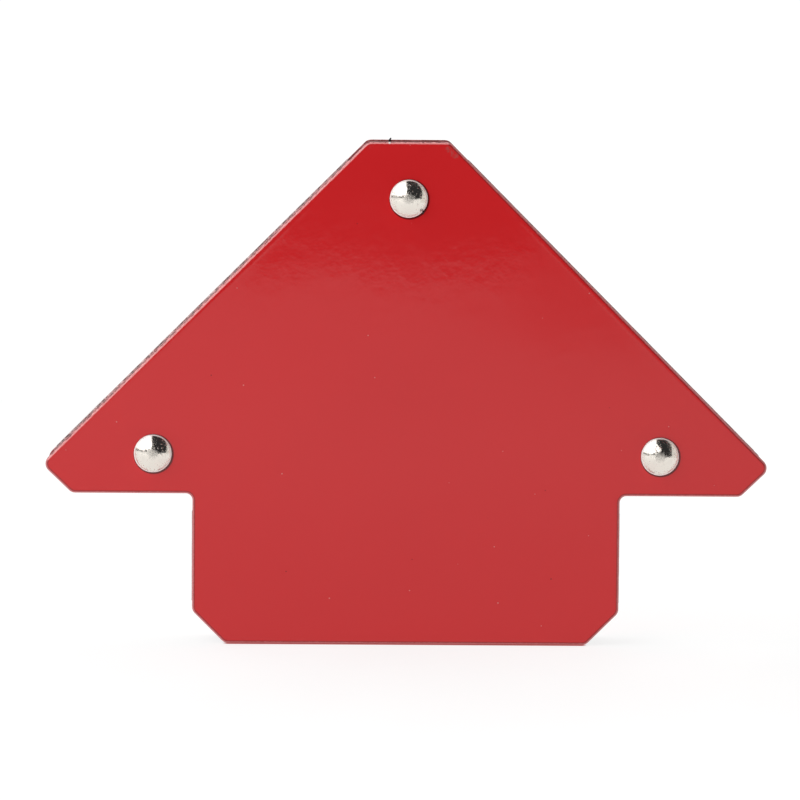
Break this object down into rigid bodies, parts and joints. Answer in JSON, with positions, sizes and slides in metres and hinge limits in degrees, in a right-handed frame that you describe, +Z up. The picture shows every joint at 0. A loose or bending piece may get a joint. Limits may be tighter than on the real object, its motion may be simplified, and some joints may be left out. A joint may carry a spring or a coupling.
{
  "type": "welding magnet holder",
  "caption": "Arrow-shaped welding magnet holder: two red steel plates riveted over steel pole strips and block magnets, with faces set at 45 and 90 degrees.",
  "frame": {"origin": "under the middle of the holder, on the surface that the foot strips stand on", "axes": "+X right, seen from the front; +Y to the rear, through the thickness; +Z up, from the foot to the point of the arrow"},
  "size_m": [0.1184, 0.0147, 0.0827],
  "materials": {
    "red_paint": "gloss",
    "nickel_plate": "polished",
    "zinc_plate": "satin",
    "pole_steel": "satin",
    "ferrite": "matte"
  },
  "bodies": {
    "root": {"front_cover": "red_paint", "rear_cover": "red_paint", "rivet_top": "nickel_plate", "spacer_top": "zinc_plate", "rivet_left": "nickel_plate", "spacer_left": "zinc_plate", "rivet_right": "nickel_plate", "spacer_right": "zinc_plate", "pole_strip_left_front": "pole_steel", "pole_strip_left_rear": "pole_steel", "pole_strip_right_front": "pole_steel", "pole_strip_right_rear": "pole_steel", "pole_strip_foot_front": "pole_steel", "pole_strip_foot_rear": "pole_steel", "pole_strip_side_left_front": "pole_steel", "pole_strip_side_left_rear": "pole_steel", "pole_strip_side_right_front": "pole_steel", "pole_strip_side_right_rear": "pole_steel", "magnet_left_upper": "ferrite", "magnet_left_middle": "ferrite", "magnet_left_lower": "ferrite", "magnet_right_upper": "ferrite", "magnet_right_middle": "ferrite", "magnet_right_lower": "ferrite", "magnet_foot_left": "ferrite", "magnet_foot_right": "ferrite", "magnet_side_left": "ferrite", "magnet_side_right": "ferrite"}
  },
  "joints": []
}
